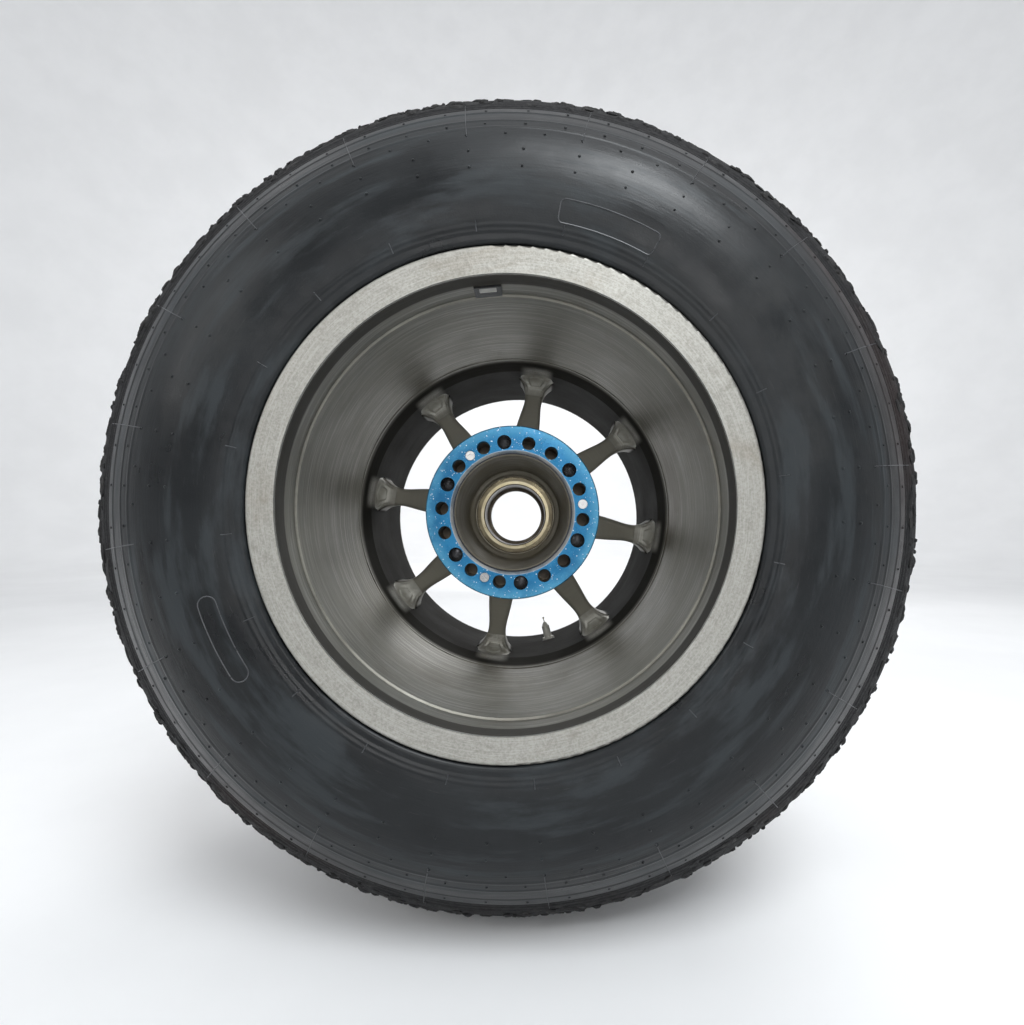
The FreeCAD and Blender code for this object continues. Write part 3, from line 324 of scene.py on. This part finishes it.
MATERIALS = {
    "sidewall": sidewall_rubber(),
    "tread": tread_rubber(),
    "forging": forging_metal(),
    "blue_anodised": anodised_blue(),
    "black_steel": worn_metal("black_steel", (0.008, 0.008, 0.010), (0.022, 0.022, 0.025),
                              (0.090, 0.090, 0.095), 0.28, 0.5, 400),
    "bright_steel": worn_metal("bright_steel", (0.40, 0.40, 0.40), (0.62, 0.62, 0.61), (0.26, 0.25, 0.23),
                               0.30, 0.9, 500),
    "seal": soft_part("seal", (0.006, 0.010, 0.022), (0.012, 0.020, 0.042), 0.42, 90),
    "seat_steel": worn_metal("seat_steel", (0.16, 0.14, 0.10), (0.30, 0.27, 0.21), (0.45, 0.42, 0.35), 0.34, 0.85),
    "nut_gold": nut_metal(),
    "spring_steel": worn_metal("spring_steel", (0.16, 0.16, 0.16), (0.30, 0.30, 0.30), (0.42, 0.41, 0.39),
                               0.34, 0.85, 300),
    "valve_metal": worn_metal("valve_metal", (0.74, 0.73, 0.66), (0.90, 0.89, 0.82), (0.62, 0.60, 0.52),
                              0.28, 0.05, 500),
    "brass": worn_metal("brass", (0.52, 0.42, 0.22), (0.78, 0.68, 0.42), (0.86, 0.82, 0.66), 0.24, 0.9, 500),
    "bead_wire": worn_metal("bead_wire", (0.20, 0.15, 0.08), (0.36, 0.28, 0.16), (0.14, 0.10, 0.06), 0.4, 0.8),
    "belts": soft_part("belts", (0.020, 0.020, 0.020), (0.045, 0.044, 0.042), 0.7, 60),
    "casing": soft_part("casing", (0.018, 0.018, 0.018), (0.040, 0.040, 0.038), 0.7, 55),
    "liner": soft_part("liner", (0.014, 0.014, 0.014), (0.032, 0.032, 0.032), 0.5, 30),
    "filler": soft_part("filler", (0.012, 0.012, 0.012), (0.028, 0.028, 0.028), 0.6, 70),
    "valve_rubber": soft_part("valve_rubber", (0.012, 0.012, 0.012), (0.030, 0.030, 0.030), 0.55, 120),
    "tag_plastic": soft_part("tag_plastic", (0.010, 0.010, 0.010), (0.026, 0.026, 0.026), 0.4, 140),
    "tag_label": soft_part("tag_label", (0.30, 0.30, 0.28), (0.44, 0.43, 0.40), 0.6, 160),
}
PICKUP = pickup_rubber()
FOOT_METAL = worn_metal("foot_metal", (0.26, 0.25, 0.21), (0.44, 0.43, 0.38), (0.60, 0.59, 0.54),
                        0.42, 0.25, 200)
# Painted highlight: the mould marks' rubber is lighter than the sidewall's, so the raised marks look lit.
MARK_HIGHLIGHT_RUBBER = soft_part("mark_highlight_rubber", (0.026, 0.028, 0.031), (0.060, 0.063, 0.068), 0.32, 120)

slot_of = {part["node"]: part["material_slot"] for part in frame["record"]["subparts"]}
for node, item in nodes.items():
    if not item.material_slots:
        item.data.materials.append(MATERIALS[slot_of[node]])
    for material_slot in item.material_slots:
        material_slot.material = MATERIALS[slot_of[node]]


# Mesh building, in millimetres until a piece is made

def piece(name, points, faces, material, replaced=(), sharp=50):
    """A mesh piece on the wheel, made from points in millimetres."""
    mesh = bpy.data.meshes.new(name)
    mesh.from_pydata((np.asarray(points) * MM).tolist(), [], faces)
    mesh.validate()
    shell = bmesh.new()
    shell.from_mesh(mesh)
    bmesh.ops.recalc_face_normals(shell, faces=shell.faces)
    shell.to_mesh(mesh)
    shell.free()
    mesh.shade_smooth()
    mesh.set_sharp_from_angle(angle=math.radians(sharp))
    item = bpy.data.objects.new(name, mesh)
    bpy.context.scene.collection.objects.link(item)
    item.data.materials.append(material)
    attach(item, "wheel")
    if replaced:
        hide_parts(*replaced)
    return item


def grid_faces(rows, columns, wrap_rows, wrap_columns, start=0):
    """Quads over a grid of points numbered row by row."""
    row = np.arange(rows if wrap_rows else rows - 1)
    column = np.arange(columns if wrap_columns else columns - 1)
    a, b = np.meshgrid(row, column, indexing="ij")
    next_a, next_b = (a + 1) % rows, (b + 1) % columns
    quads = np.stack([a * columns + b, a * columns + next_b, next_a * columns + next_b,
                      next_a * columns + b], -1)
    return (quads.reshape(-1, 4) + start).tolist()


def resample(outline, spacing):
    """The same line with its points evenly spaced."""
    outline = np.asarray(outline, float)
    along = np.concatenate([[0], np.cumsum(np.linalg.norm(np.diff(outline, axis=0), axis=1))])
    steps = np.linspace(0, along[-1], int(along[-1] / spacing) + 2)
    return np.stack([np.interp(steps, along, outline[:, 0]), np.interp(steps, along, outline[:, 1])], 1)


def normals_of(outline):
    """Unit normals of a (radius, place) line, on its left."""
    run = np.gradient(outline, axis=0)
    run /= np.linalg.norm(run, axis=1, keepdims=True)
    return np.stack([run[:, 1], -run[:, 0]], 1)


def arc(centre, radius, start, end, count):
    angles = np.radians(np.linspace(start, end, count))
    return [(centre[0] + radius * math.cos(a), centre[1] + radius * math.sin(a)) for a in angles]


def ripple(angle, along, waves, seed, fast):
    """Small seamless unevenness: waves of random direction, a whole number of them round the wheel."""
    source = np.random.default_rng(seed)
    height = np.zeros(np.broadcast(angle, along).shape)
    for _ in range(waves):
        turns = int(source.integers(3, fast))
        height += np.sin(turns * angle + source.uniform(-0.5, 0.5) * along + source.uniform(0, TURN))
    return height / math.sqrt(waves)


# The tyre's outer line, from the crown to the bead, as (radius, distance from the middle)
CROWN_RADIUS, TYRE_RADIUS, SHOULDER_PLACE = 2000, 330, 95
crown = [(TYRE_RADIUS - CROWN_RADIUS + math.sqrt(CROWN_RADIUS ** 2 - a * a), a)
         for a in np.linspace(0, SHOULDER_PLACE, 20)]
half_outline = crown + arc((259.3, 91.75), 68.5, 2.72, 50, 30) + arc((218.16, 93), 94, 50, 110, 60)
half_outline += [(181.2, 180.4), (179.6, 178.9), (179.3, 173.9)]
half_outline = resample(half_outline, 1.0)
half_normals = normals_of(half_outline)
if half_normals[0][0] < 0:
    half_normals = -half_normals
shoulder = half_outline[:, 1] > SHOULDER_PLACE
falling_radius = half_outline[:, 0][::-1]


def on_tyre(radius, angle, side):
    """The point and the outward normal on the tyre's side at this radius."""
    place = np.interp(radius, falling_radius, half_outline[:, 1][::-1])
    out = np.array([np.interp(radius, falling_radius, half_normals[:, axis][::-1]) for axis in (0, 1)])
    c, s = math.cos(angle), math.sin(angle)
    return (np.array([radius * c, side * place, radius * s]),
            np.array([out[0] * c, side * out[1], out[0] * s]) / np.linalg.norm(out))


SPLIT_RADIUS = 291
RIB_RADII = (187.2, 190.3, 261, 269.4, 282)
TREAD_RIB_RADII = (295, 299.5)
RIB_HEIGHT, RIB_HALF_WIDTH = 0.55, 0.55
RING_STEPS, WAVES, FASTEST_WAVE = 540, 14, 90
TREAD_DEPTH, WALL_DEPTH = 3.2, 3.5
TREAD_ROUGHNESS, WALL_ROUGHNESS = 0.16, 0.05
RING_SHARP_ANGLE = 70


def ring_piece(name, outline, depth, ribs, roughness, material, replaced, steps):
    """A closed ring about the axle: the outer line with its ribs and unevenness, and an inner line below it."""
    out = normals_of(outline)
    middle = len(outline) // 2
    if out[middle] @ np.array([1.0, np.sign(outline[middle, 1])]) < 0:
        out = -out
    relief = sum((RIB_HEIGHT * np.exp(-((outline[:, 0] - rib) / RIB_HALF_WIDTH) ** 2) for rib in ribs),
                 np.zeros(len(outline)))
    angle = np.linspace(0, TURN, steps, endpoint=False)
    along = np.arange(len(outline), dtype=float)[:, None]
    height = relief[:, None] + roughness * ripple(angle[None, :], along, WAVES, len(outline), FASTEST_WAVE)
    height *= np.minimum(1, np.minimum(along, len(outline) - 1 - along) / 4)
    outer = outline[:, None, :] + out[:, None, :] * height[:, :, None]
    inner = (outline - out * depth)[::-6]
    inner = np.repeat(inner[:, None, :], steps, axis=1)
    section = np.concatenate([outer, inner])
    points = np.stack([section[..., 0] * np.cos(angle), section[..., 1], section[..., 0] * np.sin(angle)], -1)
    return piece(name, points.reshape(-1, 3), grid_faces(len(section), steps, True, True), material,
                 replaced, RING_SHARP_ANGLE)


wall_line = half_outline[half_outline[:, 0] <= SPLIT_RADIUS]
tread_line = half_outline[half_outline[:, 0] > SPLIT_RADIUS]
mirror = np.array([1, -1])
tread_full = np.concatenate([(tread_line * mirror)[::-1], tread_line[1:]])
ring_piece("tyre_tread", tread_full, TREAD_DEPTH, TREAD_RIB_RADII, TREAD_ROUGHNESS,
           MATERIALS["tread"], ("tread",), RING_STEPS)
for side, label in ((-1, "inboard"), (1, "outboard")):
    ring_piece(f"tyre_wall_{label}", wall_line * np.array([1, side]), WALL_DEPTH, RIB_RADII, WALL_ROUGHNESS,
               MATERIALS["sidewall"], (f"sidewall_{label}",), RING_STEPS)


class Heap:
    """Many small closed shapes gathered into one mesh."""

    def __init__(self):
        self.points, self.faces, self.count = [], [], 0

    def add(self, points, faces):
        self.points.append(points)
        self.faces += [[index + self.count for index in face] for face in faces]
        self.count += len(points)

    def make(self, name, material):
        return piece(name, np.concatenate(self.points), self.faces, material)


def basis(normal, heading):
    """Columns: along the heading, across it, and out along the normal."""
    along = heading - normal * (heading @ normal)
    along /= np.linalg.norm(along)
    return np.stack([along, np.cross(normal, along), normal], 1)


def round_the_axle(angle):
    return np.array([-math.sin(angle), 0.0, math.cos(angle)])


def dome(heap, spot, normal, heading, radius, height):
    """A small raised nub with a rounded top, closed below the surface."""
    sides = 10
    turns = np.linspace(0, TURN, sides, endpoint=False)
    rings = [(radius, -0.5), (radius, 0.3 * height), (0.75 * radius, 0.8 * height), (0.35 * radius, height)]
    local = np.array([(r * math.cos(t), r * math.sin(t), h) for r, h in rings for t in turns])
    faces = grid_faces(len(rings), sides, False, True)
    faces.append(list(range(sides))[::-1])
    faces.append([(len(rings) - 1) * sides + i for i in range(sides)])
    heap.add(spot + local @ basis(normal, heading).T, faces)


def bead(heap, path, width, height, closed=False):
    """A half-round bar laid along a path of (point, normal) on the surface."""
    section = [(-0.5 * width, -0.4), (-0.42 * width, 0.55 * height), (0, height), (0.42 * width, 0.55 * height),
               (0.5 * width, -0.4)]
    spots = np.array([spot for spot, _ in path])
    heading = np.roll(spots, -1, 0) - np.roll(spots, 1, 0)
    if not closed:
        heading[0], heading[-1] = spots[1] - spots[0], spots[-1] - spots[-2]
    rows = []
    for (spot, normal), way in zip(path, heading):
        axes = basis(normal, way)
        rows += [spot + axes[:, 1] * across + axes[:, 2] * up for across, up in section]
    faces = grid_faces(len(path), len(section), closed, True)
    if not closed:
        last = (len(path) - 1) * len(section)
        faces += [list(range(len(section))), [last + i for i in range(len(section))][::-1]]
    heap.add(np.array(rows), faces)


CORNER_STEPS = 8


def outline_on_tyre(low, high, start, end, corner, side):
    """A rounded rectangle on the tyre's side, between two radii and two angles in degrees."""
    middle = (low + high) / 2
    half_r, half_a = (high - low) / 2, math.radians(end - start) / 2 * middle
    centre = math.radians(start + end) / 2
    spots = []
    for turn_r, turn_a, first in ((1, 1, 0), (-1, 1, 90), (-1, -1, 180), (1, -1, 270)):
        for step in np.linspace(0, 90, CORNER_STEPS):
            t = math.radians(first + step)
            spots.append((turn_r * (half_r - corner) + corner * math.cos(t),
                          turn_a * (half_a - corner) + corner * math.sin(t)))
    spots.append(spots[0])
    spots = resample(spots, 2.0)[:-1]
    return [on_tyre(middle + r, centre + a / middle, side) for r, a in spots]


marks = Heap()
pips = Heap()
TICK_ANGLES = [6 + 18 * index for index in range(20)]
PIP_ROWS = ((228, 9, 6), (240.7, 9, 6), (254.7, 6, 6), (265.2, 6, 9), (286.2, 6, 9))
for side in (-1, 1):
    for degrees in TICK_ANGLES:
        angle = math.radians(degrees)
        for low, high, width in ((187, 193.5, 0.9), (253, 300, 0.75)):
            radii = np.linspace(low, high, max(4, int((high - low) / 2)))
            bead(marks, [on_tyre(radius, angle, side) for radius in radii], width, 0.6)
    bead(marks, outline_on_tyre(194.4, 209.4, 59.75, 79.5, 3, side), 0.9, 0.5, True)
    bead(marks, outline_on_tyre(205, 217, 197, 214, 5.9, side), 0.8, 0.35, True)
    for radius, step, first in PIP_ROWS:
        for degrees in np.arange(first, first + 360, step):
            angle = math.radians(degrees + random.uniform(-0.15, 0.15))
            spot, normal = on_tyre(radius + random.uniform(-0.4, 0.4), angle, side)
            dome(pips, spot, normal, round_the_axle(angle), random.uniform(0.85, 1.1), random.uniform(0.5, 0.9))
marks.make("mould_marks", MARK_HIGHLIGHT_RUBBER)
pips.make("vent_pips", MATERIALS["sidewall"])


# Rubber picked up from the track: torn lumps, thickest along both shoulders

def lump_shapes(count):
    """Uneven closed blobs about the origin, one unit across their middle."""
    rings, sides = 5, 8
    shapes = []
    for _ in range(count):
        rows = [(0.0, 0.0, -0.6)]
        for ring in range(rings):
            tilt = math.pi * (ring + 1) / (rings + 1)
            for index in range(sides):
                turn = TURN * index / sides
                reach = random.uniform(0.72, 1.22)
                rows.append((math.sin(tilt) * math.cos(turn) * reach, math.sin(tilt) * math.sin(turn) * reach,
                             -math.cos(tilt) * random.uniform(0.6, 1.1)))
        rows.append((0.0, 0.0, random.uniform(0.7, 1.1)))
        shapes.append(np.array(rows))
    faces = grid_faces(rings, sides, False, True, 1)
    last = rings * sides + 1
    faces += [[0, 1 + (i + 1) % sides, 1 + i] for i in range(sides)]
    faces += [[last, last - sides + i, last - sides + (i + 1) % sides] for i in range(sides)]
    return shapes, faces


LUMP_SHAPES = 14
shapes, lump_faces = lump_shapes(LUMP_SHAPES)
lumps = Heap()
EDGE_LUMPS, CROWN_LUMPS = 620, 420
for index in range(2 * EDGE_LUMPS + CROWN_LUMPS):
    angle = random.uniform(0, TURN)
    side = (-1, 1)[index % 2]
    if index < 2 * EDGE_LUMPS:
        radius = float(np.clip(random.normal(312, 7), 297, 327))
        spot, normal = on_tyre(radius, angle, side)
        size, tall = random.uniform(1.3, 4.2), random.uniform(0.7, 2.1)
    else:
        place = random.uniform(-SHOULDER_PLACE, SHOULDER_PLACE)
        radius = np.interp(abs(place), half_outline[~shoulder][:, 1], half_outline[~shoulder][:, 0])
        spot = np.array([radius * math.cos(angle), place, radius * math.sin(angle)])
        normal = np.array([math.cos(angle), 0, math.sin(angle)])
        size, tall = random.uniform(1.2, 3.4), random.uniform(0.3, 0.8)
    heading = round_the_axle(angle) + np.array([0, random.uniform(-0.8, 0.8), 0])
    scale = np.array([size * random.uniform(1.0, 2.2), size, tall])
    lumps.add(spot + (shapes[index % LUMP_SHAPES] * scale) @ basis(normal, heading).T, lump_faces)
lumps.make("rubber_pickup", PICKUP)


# Spoke feet: a hollow fillet between each spoke's inboard face and the barrel, with a raised shield on it

FOOT_ROWS, FOOT_COLUMNS = 34, 34
FOOT_START, FOOT_CORNER, FOOT_END = np.array([130.5, 36.6]), np.array([150.6, 40.4]), np.array([150.3, 21.0])


def smooth(value, start, end):
    t = np.clip((value - start) / (end - start), 0, 1)
    return t * t * (3 - 2 * t)


feet = Heap()
v, u = np.meshgrid(np.linspace(0, 1, FOOT_ROWS), np.linspace(-1, 1, FOOT_COLUMNS), indexing="ij")
curve = ((1 - v) ** 2)[..., None] * FOOT_START + (2 * v * (1 - v))[..., None] * FOOT_CORNER \
    + (v ** 2)[..., None] * FOOT_END
bent = np.where((v < 0.5)[..., None], FOOT_START + (2 * v)[..., None] * (FOOT_CORNER - FOOT_START),
                FOOT_CORNER + (2 * v - 1)[..., None] * (FOOT_END - FOOT_CORNER))
drop = smooth(np.abs(u), 0.6, 1.0)[..., None]
surface = curve * (1 - drop) + (bent + np.array([0.5, 0.5])) * drop
width = np.interp(v, [0, 0.15, 0.25, 0.35, 0.5, 0.75, 1], [9.8, 10.3, 12.2, 15, 21, 22, 20])
shield_width = np.where(v < 0.62, 0.42, 0.42 * np.clip((0.78 - v) / 0.16, 0, 1))
inside = smooth(shield_width - np.abs(u), 0.0, 0.06) * smooth(v, 0.30, 0.34)
groove = np.exp(-((shield_width - np.abs(u)) / 0.05) ** 2) * smooth(v, 0.26, 0.32) * (1 - smooth(v, 0.78, 0.84))
raised = 0.9 * inside - 0.45 * groove + 0.10 * np.sin(9 * u + 7 * v) * np.cos(11 * v - 4 * u)
out = np.array([-0.707, -0.707])
surface = surface + out * (raised * (1 - drop[..., 0]))[..., None]
underside = bent + np.array([2.0, 2.0])
FIRST_SPOKE, SPOKES = 81, 8
for index in range(SPOKES):
    angle = math.radians(FIRST_SPOKE + 360 / SPOKES * index)
    radial = np.array([math.cos(angle), 0, math.sin(angle)])
    tangent = round_the_axle(angle)
    sheets = [shape[..., :1] * radial + shape[..., 1:] * np.array([0, 1.0, 0]) + (u * width)[..., None] * tangent
              for shape in (surface, underside)]
    count = FOOT_ROWS * FOOT_COLUMNS
    faces = grid_faces(FOOT_ROWS, FOOT_COLUMNS, False, False)
    faces += [face[::-1] for face in grid_faces(FOOT_ROWS, FOOT_COLUMNS, False, False, count)]
    grid = np.arange(count).reshape(FOOT_ROWS, FOOT_COLUMNS)
    border = np.concatenate([grid[0, :-1], grid[:-1, -1], grid[-1, :0:-1], grid[:0:-1, 0]])
    for first, second in zip(border, np.roll(border, -1)):
        faces.append([int(second), int(first), int(first) + count, int(second) + count])
    feet.add(np.concatenate([sheet.reshape(-1, 3) for sheet in sheets]), faces)
feet.make("spoke_feet", FOOT_METAL)


# Floor, light and camera

def floor_material():
    m = Recipe("pale_floor")
    colour = m.mix(m.fade(m.noise(2.2, 5, 0.6), 0.3, 0.7), (0.83, 0.835, 0.84), (0.87, 0.875, 0.88))
    m.bump(m.noise(40, 4, 0.6), 0.0004, 0.3)
    return m.finish(colour, m.fade(m.noise(6, 4, 0.6), 0.3, 0.7, 0.45, 0.6))


# A flat floor that curves up into a round wall far outside every view, so there is no horizon
FLOOR_FLAT, FLOOR_BEND, WALL_HEIGHT, BEND_STEPS, FLOOR_SIDES = 5.0, 2.0, 8.0, 16, 128
floor_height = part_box("tread")[0].z
floor_path = [(0.02, 0.0)]
for step in range(BEND_STEPS + 1):
    lean = math.pi / 2 * step / BEND_STEPS
    floor_path.append((FLOOR_FLAT + FLOOR_BEND * math.sin(lean), FLOOR_BEND * (1 - math.cos(lean))))
floor_path.append((FLOOR_FLAT + FLOOR_BEND, WALL_HEIGHT))
floor_points = [(reach * math.cos(TURN * side / FLOOR_SIDES), reach * math.sin(TURN * side / FLOOR_SIDES),
                 floor_height + rise) for reach, rise in floor_path for side in range(FLOOR_SIDES)]
floor_faces = grid_faces(len(floor_path), FLOOR_SIDES, False, True) + [list(range(FLOOR_SIDES))[::-1]]
floor_mesh = bpy.data.meshes.new("floor")
floor_mesh.from_pydata(floor_points, [], floor_faces)
floor_mesh.shade_smooth()
floor = bpy.data.objects.new("floor", floor_mesh)
floor.data.materials.append(floor_material())
bpy.context.scene.collection.objects.link(floor)

SKY_STRENGTH = 0.85
world = bpy.data.worlds.new("studio")
world.use_nodes = True
sky = world.node_tree.nodes["Background"]
sky.inputs["Color"].default_value = (0.93, 0.94, 0.96, 1)
sky.inputs["Strength"].default_value = SKY_STRENGTH
bpy.context.scene.world = world


def soft_light(name, place, target, size, power, colour=(1, 1, 1)):
    """A square area light that the camera doesn't see."""
    data = bpy.data.lights.new(name, "AREA")
    data.energy, data.size, data.color = power, size, colour
    lamp = bpy.data.objects.new(name, data)
    lamp.location = place
    lamp.rotation_euler = (Vector(target) - Vector(place)).to_track_quat("-Z", "Y").to_euler()
    lamp.visible_camera = False
    bpy.context.scene.collection.objects.link(lamp)


soft_light("top_key", (0.55, -1.25, 1.75), (0, 0, 0.05), 1.0, 34, (0.93, 0.97, 1.0))
soft_light("left_key", (-1.7, -1.5, 1.1), (0, 0, 0), 0.7, 9, (1.0, 0.99, 0.97))
soft_light("front_fill", (0.15, -2.4, 0.55), (0, 0, 0), 0.6, 8)
soft_light("backdrop_wash", (0, 2.6, 2.4), (0, 7.0, 1.6), 2.2, 95)
soft_light("back_fill", (0.9, 2.2, 1.5), (0, 0, 0), 1.4, 20)

# The photo's camera: in front of the inboard side, a little to the right of the axle and below it
EYE_DISTANCE, EYE_SIDE = 0.5495, 0.018
FOCAL_PIXELS, IMAGE_SIDE, SENSOR = 541, 1025, 36
SHIFT_X, SHIFT_Y = -0.0192, 0.0186
NEAREST = 0.01
camera_data = bpy.data.cameras.new("photo_camera")
camera_data.sensor_width = SENSOR
camera_data.lens = FOCAL_PIXELS * SENSOR / IMAGE_SIDE
camera_data.shift_x, camera_data.shift_y = SHIFT_X, SHIFT_Y
camera_data.clip_start = NEAREST
camera = bpy.data.objects.new("photo_camera", camera_data)
camera.location = (EYE_SIDE, -EYE_DISTANCE, -EYE_SIDE)
camera.rotation_euler = (math.pi / 2, 0, 0)
bpy.context.scene.collection.objects.link(camera)
bpy.context.scene.camera = camera
bpy.context.scene.view_settings.view_transform = "Standard"
